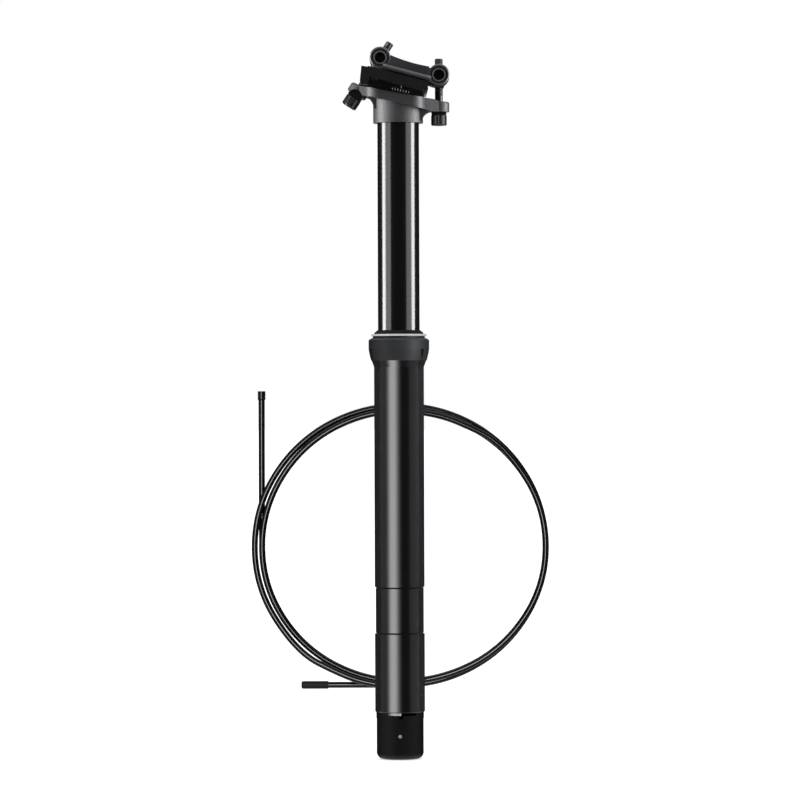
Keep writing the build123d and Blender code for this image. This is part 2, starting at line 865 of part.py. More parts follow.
def bolt(pivot, axis, length):
    head_low = -bolt_head_length - running_gap
    body = extrude(Pos(0, 0, head_low) * Circle(bolt_head_radius), bolt_head_length)
    body = chamfer(body.edges().filter_by(GeomType.CIRCLE), bolt_head_crown)
    flute = Pos(bolt_head_radius + bolt_flute_radius / 2, 0, -bolt_head_crown - bolt_head_length)
    flute *= Cylinder(bolt_flute_radius, 2 * bolt_head_length)
    body -= around(bolt_flute_count, Pos(0, 0, bolt_head_length / 2) * flute)
    body -= hexagon(bolt_socket_flats, head_low, head_low + bolt_socket_depth)
    shank = chamfer(rod(bolt_radius, -bolt_head_length / 2, length).edges()
                    .filter_by(GeomType.CIRCLE).sort_by(Axis.Z)[-1:], bolt_tip_chamfer)
    frame = Plane(pivot, x_dir=(axis.Z, 0, -axis.X), z_dir=axis)
    return frame * (body + shank)


# The cable housing's route: stations with a heading, joined by pairs of tangent arcs

housing_radius = housing_diameter / 2
front_layer = tube_radius + housing_clearance + housing_radius


def loop_point(angle, radius, depth):
    turn = radians(angle)
    return Vector(loop_x + radius * cos(turn), front_layer + depth, loop_z + radius * sin(turn))


def loop_heading(angle, sense, climb=0):
    turn = radians(angle)
    return Vector(-sense * sin(turn), climb, sense * cos(turn)).normalized()


def arc_pair(start, heading, end, arrival):
    # Two arcs that meet smoothly between two stations
    gap = end - start
    together = heading + arrival
    square = 2 * (1 - heading.dot(arrival))
    lever = gap.dot(together)
    if square < parallel_share:
        reach = gap.dot(gap) / (2 * lever)
    else:
        reach = (-lever + sqrt(lever ** 2 + square * gap.dot(gap))) / square
    near = start + heading * reach
    far = end - arrival * reach
    middle = (near + far) / 2
    return [
        TangentArc(start, middle, tangent=heading),
        TangentArc(middle, end, tangent=(far - near).normalized()),
    ]


def route(stations):
    edges = []
    for (start, heading), (end, arrival) in zip(stations, stations[1:]):
        straight = (end - start).normalized()
        if min(heading.dot(straight), arrival.dot(straight)) > 1 - parallel_share:
            edges.append(Line(start, end))
        else:
            edges += arc_pair(start, heading, end, arrival)
    return Wire(edges)


def swept(path, radius):
    start = Plane(path @ 0, z_dir=path % 0)
    return sweep(start * Circle(radius), path)


def first_winding_stations():
    # From the upper tail, down the left side and one and three quarter times round
    radii = (loop_left, loop_bottom, loop_right, loop_top)
    slope = -winding_pitch / (2 * pi * loop_left)
    stations = []
    for quarter in range(winding_quarters + 1):
        angle = 180 + 90 * quarter
        depth = winding_depth - winding_pitch * quarter / 4
        point = loop_point(angle, radii[quarter % 4], depth)
        stations.append((point, loop_heading(angle, 1, slope)))
    turns = (90 * winding_quarters + leave_angle) / 360
    point = loop_point(leave_angle, leave_radius, winding_depth - winding_pitch * turns)
    stations.append((point, loop_heading(leave_angle, 1, slope)))
    return stations


def second_winding_stations():
    # Once round the other way, ending at the lower tail
    slope = -outer_left_depth / (2 * pi * outer_left)
    return [
        (loop_point(rejoin_angle, rejoin_radius, 0), loop_heading(rejoin_angle, -1, -slope)),
        (loop_point(180, outer_left, outer_left_depth), loop_heading(180, -1, -3 * slope)),
        (loop_point(90, outer_top, outer_top_depth), loop_heading(90, -1, -2 * slope)),
        (loop_point(0, loop_right, outer_right_depth), loop_heading(0, -1)),
        (loop_point(-90, outer_bottom, outer_bottom_depth), loop_heading(-90, -1)),
    ]


def back_run_stations():
    # Straight down behind the tube, between the two windings
    start, heading = first_winding_stations()[-1]
    end, arrival = second_winding_stations()[0]
    left = Vector(-heading.Z, 0, heading.X).normalized()
    right = Vector(arrival.Z, 0, -arrival.X).normalized()
    upper_centre = start + left * back_bend_radius
    lower_centre = end + right * back_bend_radius
    between = lower_centre - upper_centre
    flat = sqrt(between.X ** 2 + between.Z ** 2)
    turn = atan2(between.Z, between.X) + asin(2 * back_bend_radius / flat)
    run = Vector(cos(turn), 0, sin(turn))
    side = Vector(-run.Z, 0, run.X)
    upper = upper_centre - side * back_bend_radius
    lower = lower_centre + side * back_bend_radius
    fall = (end.Y - start.Y) / 3
    upper = Vector(upper.X, start.Y + fall / 2, upper.Z)
    lower = Vector(lower.X, end.Y - fall / 2, lower.Z)
    straight = (lower - upper).normalized()
    return [(start, heading), (upper, straight), (lower, straight), (end, arrival)]


def upper_tail_stations():
    end, arrival = first_winding_stations()[0]
    start = end + Vector(0, upper_tail_lean, upper_tail_length + ferrule_length - ferrule_floor)
    heading = (end - start).normalized()
    return [(start, heading), (end, heading)]


def lower_tail_stations():
    start, heading = second_winding_stations()[-1]
    end = start + heading * (lower_tail_length + boot_length - boot_floor)
    return [(start, heading), (end, heading)]


routes = {
    "housing_upper_tail": route(upper_tail_stations()),
    "housing_first_winding": route(first_winding_stations()),
    "housing_back_run": route(back_run_stations()),
    "housing_second_winding": route(second_winding_stations()),
    "housing_lower_tail": route(lower_tail_stations()),
}


def housing_ferrule():
    path = routes["housing_upper_tail"]
    frame = Plane(path @ 0, z_dir=path % 0)
    low = -ferrule_floor
    high = ferrule_length - ferrule_floor
    band_high = high - ferrule_taper_length
    band_low = band_high - ferrule_band_length
    body = turned([
        (0, low),
        (ferrule_radius, low),
        (ferrule_radius, band_low - ferrule_groove_length),
        (ferrule_groove_radius, band_low - ferrule_groove_length),
        (ferrule_groove_radius, band_low),
        (ferrule_band_radius, band_low),
        (ferrule_band_radius, band_high),
        (ferrule_mouth_radius, high),
        (0, high),
    ])
    return frame * (body - rod(housing_radius, 0, 2 * high) - rod(cable_radius, 2 * low, high))


def housing_boot():
    path = routes["housing_lower_tail"]
    frame = Plane(path @ 1, z_dir=path % 1)
    body = rod(boot_radius, boot_floor - boot_length, boot_floor)
    body = fillet(body.edges().filter_by(GeomType.CIRCLE).sort_by(Axis.Z)[-1:], boot_round)
    return frame * (body - rod(housing_radius, -2 * boot_length, 0))


def return_spring():
    # A coil round the pivot pin, beside the lever, made of half turns
    first = lever_half_width + spring_gap
    stations = []
    slope = spring_pitch / (2 * pi * spring_mean_radius)
    for half in range(2 * spring_turns + 1):
        turn = pi * half
        point = Vector(spring_mean_radius * cos(turn), first + spring_pitch * half / 2,
                       pivot_z + spring_mean_radius * sin(turn))
        stations.append((point, Vector(-sin(turn), slope, cos(turn)).normalized()))
    return swept(route(stations), spring_wire_radius)


nodes = {
    "outer_tube": outer_tube(),
    "collar": collar(),
    "wiper_ring": wiper_ring(),
    "wiper_seal": wiper_seal(),
    "upper_bushing": upper_bushing(),
    "base_plug": base_plug(),
    "base_bumper": base_bumper(),
    "rod_nut": rod_nut(),
    "piston_rod": piston_rod(),
    "piston": piston(),
    "piston_seal": piston_seal(),
    "piston_nut": piston_nut(),
    "actuator_housing": actuator_housing(),
    "retaining_clip": retaining_clip(),
    "lever_pin": lever_pin(),
    "return_spring": return_spring(),
    "actuator_lever": actuator_lever(),
    "cable_barrel": cable_barrel(),
    "valve_pin": valve_pin(),
    "stanchion": stanchion(),
    "guide_keys": guide_keys(),
    "lower_bushing": lower_bushing(),
    "bushing_clip": bushing_clip(),
    "gas_cylinder": gas_cylinder(),
    "seal_head": seal_head(),
    "rod_seal": rod_seal(),
    "top_out_bumper": top_out_bumper(),
    "cylinder_plug": cylinder_plug(),
    "cartridge_retainer": cartridge_retainer(),
    "floating_piston": floating_piston(),
    "floating_piston_seal": floating_piston_seal(),
    "head": head(),
    "cradle": cradle(),
    "upper_clamp": upper_clamp(),
    "rear_barrel_nut": barrel_nut(rear_nut_centre, rear_axis),
    "front_barrel_nut": barrel_nut(front_nut_centre, front_axis),
    "rear_washer": half_washer(rear_pivot, rear_axis),
    "front_washer": half_washer(front_pivot, front_axis),
    "rear_bolt": bolt(rear_pivot, rear_axis, rear_bolt_length),
    "front_bolt": bolt(front_pivot, front_axis, front_bolt_length),
    "housing_ferrule": housing_ferrule(),
    "housing_boot": housing_boot(),
}
for name, path in routes.items():
    nodes[name] = swept(path, housing_radius)


def least_gap(paths):
    # Between stretches of the housing that are more than a bend apart along it
    points = []
    run = 0
    for path in paths:
        count = ceil(2 * path.length / housing_radius)
        points += [(run + path.length * i / count, tuple(path @ (i / count))) for i in range(count)]
        run += path.length
    least = inf
    for i, (reach, point) in enumerate(points):
        for further, other in points[i + 1:]:
            if further - reach > 2 * back_bend_radius:
                least = min(least, dist(point, other))
    return least - housing_diameter


for name, path in routes.items():
    radii = [edge.radius for edge in path.edges() if edge.geom_type == GeomType.CIRCLE]
    share = nodes[name].volume / (pi * housing_radius ** 2 * path.length)
    print(name, "length", round(path.length, 1), "least bend", round(min(radii), 1) if radii else "straight",
          "volume share", round(share, 4))
print("housing length", round(sum(path.length for path in routes.values()), 1))
print("least gap between its turns", round(least_gap(routes.values()), 2))
print("exposed length when lowered", exposed_length - travel)

os.makedirs("parts", exist_ok=True)
for name, shape in nodes.items():
    shape.label = name
    export_step(shape, f"parts/{name}.step")
    print(name, "volume", round(shape.volume, 2))
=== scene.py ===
import json
import math
import bmesh
import bpy
from mathutils import Matrix, Vector

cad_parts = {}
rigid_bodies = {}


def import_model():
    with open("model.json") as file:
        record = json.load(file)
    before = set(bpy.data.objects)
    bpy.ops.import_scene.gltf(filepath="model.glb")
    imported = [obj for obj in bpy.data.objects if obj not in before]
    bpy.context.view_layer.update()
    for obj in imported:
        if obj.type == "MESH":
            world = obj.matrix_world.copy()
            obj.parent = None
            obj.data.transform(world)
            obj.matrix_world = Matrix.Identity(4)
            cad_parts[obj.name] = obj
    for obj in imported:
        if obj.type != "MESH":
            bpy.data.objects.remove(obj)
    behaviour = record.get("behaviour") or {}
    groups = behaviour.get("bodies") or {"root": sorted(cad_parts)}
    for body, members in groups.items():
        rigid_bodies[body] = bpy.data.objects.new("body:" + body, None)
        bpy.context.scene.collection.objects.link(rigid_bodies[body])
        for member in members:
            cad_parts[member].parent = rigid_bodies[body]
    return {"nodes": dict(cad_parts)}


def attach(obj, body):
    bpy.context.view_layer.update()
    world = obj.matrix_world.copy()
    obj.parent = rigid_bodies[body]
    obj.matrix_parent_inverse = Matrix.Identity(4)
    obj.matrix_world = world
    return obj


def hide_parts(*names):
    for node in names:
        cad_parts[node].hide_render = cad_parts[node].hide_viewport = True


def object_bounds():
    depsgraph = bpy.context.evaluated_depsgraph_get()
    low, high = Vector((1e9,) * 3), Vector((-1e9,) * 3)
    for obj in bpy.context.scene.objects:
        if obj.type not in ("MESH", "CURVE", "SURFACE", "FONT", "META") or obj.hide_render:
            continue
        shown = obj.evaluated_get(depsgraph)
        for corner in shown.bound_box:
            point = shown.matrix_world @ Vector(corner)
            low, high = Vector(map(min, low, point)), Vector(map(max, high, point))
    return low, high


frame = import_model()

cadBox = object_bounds()
nodes = frame["nodes"]
mm = 0.001
bpy.context.scene.view_settings.view_transform = "Standard"


def linear(hexColour):
    values = [int(hexColour[i:i + 2], 16) / 255 for i in (1, 3, 5)]
    return [v / 12.92 if v < 0.04045 else ((v + 0.055) / 1.055) ** 2.4 for v in values] + [1]


def addNode(tree, kind, links=None, **settings):
    # Adds a shader node, sets its properties or inputs and links others into it
    node = tree.nodes.new(kind)
    for key, value in settings.items():
        if hasattr(node, key):
            setattr(node, key, value)
        else:
            node.inputs[key.replace("_", " ")].default_value = value
    for name, source in (links or {}).items():
        tree.links.new(source, node.inputs[name])
    return node


def makeFinish(name, colour, second, rough, metal=0.0, grain=0.4, stretch=(1, 1, 1), bump=0.1,
               depth=0.02, specular=0.5, spread=0.08):
    # A fine grain in real millimetres varies the colour, the roughness and the height. The colours are
    # as they look on a screen, grain and depth are the size and height of the grain, and spread is how
    # far the roughness strays from rough. Wider patches, 18 mm across, vary it once more
    material = bpy.data.materials.new(name)
    material.use_nodes = True
    tree = material.node_tree
    shader = tree.nodes["Principled BSDF"]
    shader.inputs["Metallic"].default_value = metal
    shader.inputs["Specular IOR Level"].default_value = specular
    place = addNode(tree, "ShaderNodeTexCoord")
    scaled = addNode(tree, "ShaderNodeMapping", {"Vector": place.outputs["Object"]}, Scale=stretch)
    fine = addNode(tree, "ShaderNodeTexNoise", {"Vector": scaled.outputs[0]}, Scale=1 / (grain * mm), Detail=3)
    wide = addNode(tree, "ShaderNodeTexNoise", {"Vector": place.outputs["Object"]}, Scale=1 / (18 * mm), Detail=2)
    both = addNode(tree, "ShaderNodeMix", {"A": fine.outputs["Fac"], "B": wide.outputs["Fac"]}, Factor=0.4)
    tint = addNode(tree, "ShaderNodeMix", {"Factor": both.outputs[0]}, data_type="RGBA")
    tint.inputs[6].default_value = linear(colour)
    tint.inputs[7].default_value = linear(second)
    tree.links.new(tint.outputs[2], shader.inputs["Base Color"])
    dull = addNode(tree, "ShaderNodeMapRange", {"Value": both.outputs[0]}, From_Min=0.3, From_Max=0.7,
                   To_Min=max(rough - spread, 0.02), To_Max=rough + spread)
    tree.links.new(dull.outputs[0], shader.inputs["Roughness"])
    raised = addNode(tree, "ShaderNodeBump", {"Height": fine.outputs["Fac"]}, Strength=bump, Distance=depth * mm)
    tree.links.new(raised.outputs[0], shader.inputs["Normal"])
    return material


def addThreads(material, axis, centre, pitch, start, height):
    # Ridges along a bolt's own axis, kept to the shank beyond start
    tree = material.node_tree
    shader = tree.nodes["Principled BSDF"]
    place = addNode(tree, "ShaderNodeTexCoord")
    turn = Vector((0, 0, 1)).rotation_difference(Vector(axis)).inverted().to_euler()
    moved = addNode(tree, "ShaderNodeVectorMath", {0: place.outputs["Object"]}, operation="SUBTRACT")
    moved.inputs[1].default_value = centre
    upright = addNode(tree, "ShaderNodeMapping", {"Vector": moved.outputs[0]}, Rotation=turn)
    parts = addNode(tree, "ShaderNodeSeparateXYZ", {"Vector": upright.outputs[0]})
    phase = addNode(tree, "ShaderNodeMath", {0: parts.outputs["Z"]}, operation="MULTIPLY")
    phase.inputs[1].default_value = 2 * math.pi / pitch
    swirl = addNode(tree, "ShaderNodeMath", {0: parts.outputs["Y"], 1: parts.outputs["X"]}, operation="ARCTAN2")
    total = addNode(tree, "ShaderNodeMath", {0: phase.outputs[0], 1: swirl.outputs[0]}, operation="ADD")
    ridge = addNode(tree, "ShaderNodeMath", {0: total.outputs[0]}, operation="SINE")
    shank = addNode(tree, "ShaderNodeMath", {0: parts.outputs["Z"]}, operation="GREATER_THAN")
    shank.inputs[1].default_value = start
    kept = addNode(tree, "ShaderNodeMath", {0: ridge.outputs[0], 1: shank.outputs[0]}, operation="MULTIPLY")
    raised = addNode(tree, "ShaderNodeBump", {"Height": kept.outputs[0]}, Strength=0.9, Distance=height)
    tree.links.new(raised.outputs[0], shader.inputs["Normal"])


def paintLightAndShadeRings(material, centres, stops, side=0.0, rest=1.0):
    # Paints shade and highlight into the colour: darkens it by the distance from round bores across the part. stops
    # holds radius and level,
    # # and nearer the middle than side the level is rest
    tree = material.node_tree
    shader = tree.nodes["Principled BSDF"]
    widest = 8  # mm, the radius at the ramp's end
    place = addNode(tree, "ShaderNodeTexCoord")
    nearest = None
    for x, z in centres:
        moved = addNode(tree, "ShaderNodeVectorMath", {0: place.outputs["Object"]}, operation="SUBTRACT")
        moved.inputs[1].default_value = Vector((x, 0, z)) * mm
        flat = addNode(tree, "ShaderNodeVectorMath", {0: moved.outputs[0]}, operation="MULTIPLY")
        flat.inputs[1].default_value = (1, 0, 1)
        reach = addNode(tree, "ShaderNodeVectorMath", {0: flat.outputs[0]}, operation="LENGTH")
        if nearest:
            nearest = addNode(tree, "ShaderNodeMath", {0: nearest.outputs[0], 1: reach.outputs["Value"]},
                              operation="MINIMUM")
        else:
            nearest = addNode(tree, "ShaderNodeMath", {0: reach.outputs["Value"]}, operation="ABSOLUTE")
    share = addNode(tree, "ShaderNodeMath", {0: nearest.outputs[0]}, operation="DIVIDE")
    share.inputs[1].default_value = widest * mm
    ramp = addNode(tree, "ShaderNodeValToRGB", {"Fac": share.outputs[0]})
    marks = ramp.color_ramp.elements
    while len(marks) < len(stops):
        marks.new(0.5)
    for mark, (radius, level) in zip(marks, stops):
        mark.position = radius / widest
        mark.color = (level, level, level, 1)
    parts = addNode(tree, "ShaderNodeSeparateXYZ", {"Vector": place.outputs["Object"]})
    away = addNode(tree, "ShaderNodeMath", {0: parts.outputs["Y"]}, operation="ABSOLUTE")
    beyond = addNode(tree, "ShaderNodeMath", {0: away.outputs[0]}, operation="GREATER_THAN")
    beyond.inputs[1].default_value = side * mm
    old = shader.inputs["Base Color"].links[0].from_socket
    level = addNode(tree, "ShaderNodeMix", {"Factor": beyond.outputs[0], "B": ramp.outputs[0]}, A=rest)
    mixed = addNode(tree, "ShaderNodeMix", data_type="RGBA", blend_type="MULTIPLY", Factor=1.0)
    tree.links.new(old, mixed.inputs[6])
    tree.links.new(level.outputs[0], mixed.inputs[7])
    tree.links.new(mixed.outputs[2], shader.inputs["Base Color"])


def addLines(material, heights, width):
    # Matt black lines round an upright tube, at the middle heights given
    tree = material.node_tree
    shader = tree.nodes["Principled BSDF"]
    place = addNode(tree, "ShaderNodeTexCoord")
    parts = addNode(tree, "ShaderNodeSeparateXYZ", {"Vector": place.outputs["Object"]})
    total = None
    for height in heights:
        inside = addNode(tree, "ShaderNodeMath", {0: parts.outputs["Z"]}, operation="COMPARE")
        inside.inputs[1].default_value = height * mm
        inside.inputs[2].default_value = width / 2 * mm
        if total:
            total = addNode(tree, "ShaderNodeMath", {0: total.outputs[0], 1: inside.outputs[0]}, operation="MAXIMUM")
        else:
            total = inside
    gloss = addNode(tree, "ShaderNodeMapRange", {"Value": total.outputs[0]}, To_Min=0.5, To_Max=0.06)
    tree.links.new(gloss.outputs[0], shader.inputs["Specular IOR Level"])
    old = shader.inputs["Roughness"].links[0].from_socket
    dull = addNode(tree, "ShaderNodeMix", {"Factor": total.outputs[0], "A": old}, B=0.9)
    tree.links.new(dull.outputs[0], shader.inputs["Roughness"])


# What each piece is made of, how its surface was made and what that gives the eye
finishLooks = {
    # Drawn and anodised: deep black with soft-edged bands of light and faint lines along the tube
    "satinTube": dict(name="satin_black_anodised", colour="#0d0d0f", second="#121214", rough=0.2, grain=0.25,
                      stretch=(1, 1, 0.12), bump=0.12, spread=0.03),
    # Ground and hard anodised: near mirror black with crisp bands
    "glossTube": dict(name="gloss_black_hard_anodised", colour="#0b0b0c", second="#101012", rough=0.15, metal=0.2,
                      grain=0.3, stretch=(1, 1, 0.2), bump=0.04, spread=0.03),
    # Forged and bead blasted: grey, wide soft highlights and a sandy grain, drawn coarse enough to show
    "blasted": dict(name="bead_blasted_dark_anodised", colour="#2b2b2d", second="#444446", rough=0.5, metal=0.45,
                    grain=0.45, bump=0.6, depth=0.05),
    # Turned and satin anodised: an even dark grey
    "satinCollar": dict(name="satin_dark_anodised_collar", colour="#323335", second="#3d3e40", rough=0.48, metal=0.4,
                        bump=0.3),
    # The upper clamp's blasted grey, a little lighter before it is darkened, less on the ear chamfers, which leaves a
    # painted highlight there
    "blastedClamp": dict(name="bead_blasted_clamp_painted_highlight", colour="#4a4b4f", second="#66676c", rough=0.45, metal=0.4,
                         grain=0.45, bump=0.5, depth=0.05),
    # Machined and anodised: flat black that hides its edges
    "blackPlate": dict(name="fine_satin_black_anodised", colour="#0a0a0b", second="#101112", rough=0.36, grain=0.3,
                       bump=0.3, specular=0.35),
    # Moulded with a fine texture: dull black
    "capPlastic": dict(name="textured_black_plastic", colour="#101012", second="#161618", rough=0.5, grain=0.35,
                       bump=0.35, depth=0.03, specular=0.25),
    # Moulded rubber: matte, hardly any highlight
    "rubber": dict(name="matte_black_rubber", colour="#0d0d0e", second="#151516", rough=0.68, grain=0.5, bump=0.3,
                   specular=0.25),
    # Extruded plastic over the cable housing: black with one thin bright line
    "sleeve": dict(name="glossy_black_sleeve", colour="#08080a", second="#0c0c0e", rough=0.12, grain=0.5, bump=0.05,
                   specular=0.22, spread=0.03),
    # Zinc plated steel: grey metal with a warm cast
    "steel": dict(name="plated_steel", colour="#9a9b9d", second="#b5b3ac", rough=0.32, metal=1.0, grain=0.3, bump=0.2),
    # Turned bright: nearly white, with fine lines round it
    "bright": dict(name="bright_turned_aluminium", colour="#f2f2f2", second="#e4e4e5", rough=0.36, metal=0.1,
                   grain=0.2, stretch=(1, 1, 6), bump=0.2),
    # Ground steel pin end: a small light grey dot
    "pin": dict(name="ground_pin_steel", colour="#97989a", second="#858688", rough=0.42, metal=0.3, grain=0.3,
                bump=0.15),
    # Bright zinc plate, coloured near white: the plate's own pale metal with a painted glint in the cap's window
    "clip": dict(name="bright_zinc_plate_painted_glint", colour="#ededec", second="#e0e0de", rough=0.42, metal=0.1, grain=0.3,
                 bump=0.15),
    # Nickel plated steel: mid grey
    "nut": dict(name="dark_nickel_steel_painted_recess_shade", colour="#77787a", second="#66676a", rough=0.36, metal=0.5, grain=0.3,
                bump=0.2),
    # Black oxide on machined steel: black with sharp glints on the flutes, one for each bolt's threads
    "oxide": dict(name="black_oxide_steel", colour="#131314", second="#1b1b1c", rough=0.27, metal=0.35, grain=0.3,
                  bump=0.15),
    "oxideRear": dict(name="black_oxide_rear_bolt", colour="#131314", second="#1b1b1c", rough=0.27, metal=0.35,
                      grain=0.3, bump=0.15),
    "oxideFront": dict(name="black_oxide_front_bolt", colour="#131314", second="#1b1b1c", rough=0.27, metal=0.35,
                       grain=0.3, bump=0.15),
    # Turned aluminium: pale metal with fine lines round it
    "alloy": dict(name="turned_aluminium", colour="#a9aaac", second="#8f9092", rough=0.3, metal=1.0, grain=0.3,
                  stretch=(1, 1, 5), bump=0.2),
    # Machined brass: yellow metal
    "brass": dict(name="machined_brass", colour="#b08d4c", second="#96783f", rough=0.3, metal=1.0, grain=0.3,
                  bump=0.2),
    # Sintered bearing plastic: dull dark green
    "polymer": dict(name="bearing_polymer", colour="#2d4a3e", second="#22382f", rough=0.5, grain=0.3, bump=0.3),
    # Printed ink: flat white
    "mark": dict(name="printed_white_mark", colour="#d9d9d6", second="#c4c4c0", rough=0.5, grain=0.3),
}
finishes = {key: makeFinish(**look) for key, look in finishLooks.items()}

nodeFinishes = {
    "satinTube": ["outer_tube"],
    "glossTube": ["stanchion"],
    "blasted": ["head"],
    "satinCollar": ["collar"],
    "blastedClamp": ["upper_clamp"],
    "blackPlate": ["cradle"],
    "capPlastic": ["actuator_housing"],
    "rubber": ["wiper_seal", "base_bumper", "piston_seal", "rod_seal", "top_out_bumper", "floating_piston_seal",
               "housing_boot"],
    "bright": ["wiper_ring"],
    "steel": ["rod_nut", "piston_rod", "piston_nut", "return_spring",
              "actuator_lever", "valve_pin", "bushing_clip"],
    "pin": ["lever_pin"],
    "clip": ["retaining_clip"],
    "nut": ["rear_barrel_nut", "front_barrel_nut"],
    "oxide": ["rear_washer", "front_washer"],
    "oxideRear": ["rear_bolt"],
    "oxideFront": ["front_bolt"],
    "alloy": ["base_plug", "piston", "gas_cylinder", "seal_head", "cylinder_plug", "cartridge_retainer",
              "floating_piston"],
    "brass": ["cable_barrel", "guide_keys"],
    "polymer": ["upper_bushing", "lower_bushing"],
    "sleeve": ["housing_ferrule", "housing_upper_tail", "housing_first_winding", "housing_back_run",
               "housing_second_winding", "housing_lower_tail"],
}
for finish, names in nodeFinishes.items():
    for name in names:
        mesh = nodes[name].data
        mesh.materials.clear()
        mesh.materials.append(finishes[finish])

# Where each bolt turns and the barrel nut that it screws into, as x and z in millimetres
bolts = {
    "rear": {"pivot": (-27.6, 171), "nut": (-11.26, 195.67)},
    "front": {"pivot": (25.9, 159.9), "nut": (25.9, 184.63)},
}
threads = {"pitch": 0.8, "start": 12, "height": 0.12}
for side, bolt in bolts.items():
    pivot, nut = (Vector((x, 0, z)) for x, z in (bolt["pivot"], bolt["nut"]))
    addThreads(finishes["oxide" + side.title()], (nut - pivot).normalized(), pivot * mm,
               **{key: size * mm for key, size in threads.items()})

# The two grooves beside the tube's band
grooves = {"heights": (-139.7, -168.5), "width": 1.0}
addLines(finishes["satinTube"], **grooves)

# Painted shade darkens the recess and the outer edge of each barrel nut round its grey rim, and a painted highlight
# leaves the ears' chamfers lighter than the rest of the clamp
nutCentres = [bolt["nut"] for bolt in bolts.values()]
# Painted shade: the nut's recess and its outer edge next to the ear are darkened
nutRecessShade = {"stops": [(3.3, 0.03), (3.5, 1), (4.2, 1), (4.4, 0.05)]}
# Painted highlight: the ear chamfers keep more of the clamp's grey than the rest
earChamferHighlight = {"stops": [(5.9, 0.25), (6.05, 0.65), (6.8, 0.65), (6.95, 0.25)], "side": 9.2, "rest": 0.25}
paintLightAndShadeRings(finishes["nut"], nutCentres, **nutRecessShade)
paintLightAndShadeRings(finishes["blastedClamp"], nutCentres, **earChamferHighlight)
print("stage: finishes")

# The camera stands level with the post, as far off as the photograph's. Distances in metres, x and z in
# millimetres, roll in degrees
view = {"distance": 2.7, "pictureWidth": 0.5072, "x": 0.6, "z": -20.9, "roll": 0.2, "sensor": 36}
cameraData = bpy.data.cameras.new("camera")
cameraData.sensor_width = view["sensor"]
cameraData.lens = view["sensor"] * view["distance"] / view["pictureWidth"]
camera = bpy.data.objects.new("camera", cameraData)
camera.location = (view["x"] * mm, -view["distance"], view["z"] * mm)
camera.rotation_euler = (math.pi / 2, math.radians(view["roll"]), 0)
bpy.context.collection.objects.link(camera)
bpy.context.scene.camera = camera

# The cable housing, one length, with the route's sizes from the part in millimetres and degrees. left to
# top are the first winding's radii, pitch is its step back in a turn, and depth is where it starts. The
# outer entries are the second winding's radii and depths. tail and lowerTail are the straight ends
housing = {
    "diameter": 4, "frontLayer": 18.7, "x": 1.04, "z": -115,
    "left": 89.2, "bottom": 85.6, "right": 92.9, "top": 86.9, "pitch": 4.6, "depth": 10.6,
    "leaveAngle": 80, "rejoinAngle": 260, "rejoinRadius": 88.6, "bend": 20,
    "outerLeft": (94, 5.7), "outerTop": (90.1, 11.2), "outerRight": (92.9, 13), "outerBottom": (88.5, 13.6),
    "tail": 99.1, "lean": 2.4, "lowerTail": 61.3, "turnPoints": 12,
}


def loopPoint(angle, radius, depth):
    turn = math.radians(angle)
    return Vector((housing["x"] + radius * math.cos(turn), housing["frontLayer"] + depth,
                   housing["z"] + radius * math.sin(turn)))


def eased(values, share):
    # A value between two neighbours of a list, with no corner at either
    index = min(int(share), len(values) - 2)
    part = share - index
    smooth = (1 - math.cos(math.pi * part)) / 2
    return values[index] * (1 - smooth) + values[index + 1] * smooth


def housingPoints():
    # Corners of tangents: 30 degrees apart on the windings, closer where the housing leaves and rejoins them
    half = 180 / housing["turnPoints"]
    quarters = [housing[k] for k in ("left", "bottom", "right", "top")] * 2
    outer = [(housing["rejoinRadius"], 0)]
    outer += [housing[k] for k in ("outerLeft", "outerTop", "outerRight", "outerBottom")]
    tail = Vector((0, housing["lean"], housing["tail"]))
    leave = 540 + housing["leaveAngle"]
    rejoin = housing["rejoinAngle"]
    points = [loopPoint(180, housing["left"], housing["depth"]) + tail * share for share in (1, 0.75, 0.5, 0.24)]
    spans = [(half * (2 * i + 1), half) for i in range(20)] + [(leave - 16, 4), (leave - 6, 6)]
    for angle, reach in spans:
        radius = eased(quarters, angle / 90) / math.cos(math.radians(reach))
        points.append(loopPoint(180 + angle, radius, housing["depth"] - housing["pitch"] * angle / 360))
    points += backRunPoints(eased(quarters, leave / 90), housing["depth"] - housing["pitch"] * leave / 360)
    for angle, reach in [(16, 6), (26, 4)] + [(30 + half * (2 * i + 1), half) for i in range(11)]:
        share = angle / 90
        radius = eased([r for r, d in outer], share) / math.cos(math.radians(reach))
        points.append(loopPoint(rejoin + 10 - angle, radius, eased([d for r, d in outer], share)))
    end = loopPoint(-90, *housing["outerBottom"])
    points += [end - Vector((housing["lowerTail"] * share, 0, 0)) for share in (0.39, 0.7, 1)]
    return [p * mm for p in points]


def corner(centre, radius, heading, side, spread=0.0):
    # Corner between two tangents of an arc that turns by spread about the centre
    turn = math.radians(heading)
    outward = Vector((math.sin(turn), 0, -math.cos(turn))) * side
    return centre + outward * radius / math.cos(math.radians(spread / 2))


def backRunPoints(leaveRadius, leaveDepth):
    # Out of the first winding at the top, straight down and into the second at the bottom
    bend = housing["bend"]
    high = loopPoint(housing["leaveAngle"], leaveRadius - bend, 0)
    low = loopPoint(housing["rejoinAngle"], housing["rejoinRadius"] - bend, 0)
    between = low - high
    first = housing["leaveAngle"] + 90
    heading = math.degrees(math.atan2(between.z, between.x) + math.asin(2 * bend / between.length)) + 360
    spread = (heading - first) / 2
    run = Vector((math.cos(math.radians(heading)), 0, math.sin(math.radians(heading))))
    run *= bend * math.tan(math.radians(spread / 2))
    flat = [corner(high, bend, first + spread * k, 1, spread) for k in (0.5, 1.5)]
    flat += [corner(high, bend, heading, 1) + run, corner(low, bend, heading, -1) - run]
    flat += [corner(low, bend, first + spread * k, -1, spread) for k in (1.5, 0.5)]
    return [p + Vector((0, leaveDepth * share, 0)) for p, share in zip(flat, (0.94, 0.86, 0.78, 0.22, 0.14, 0.06))]


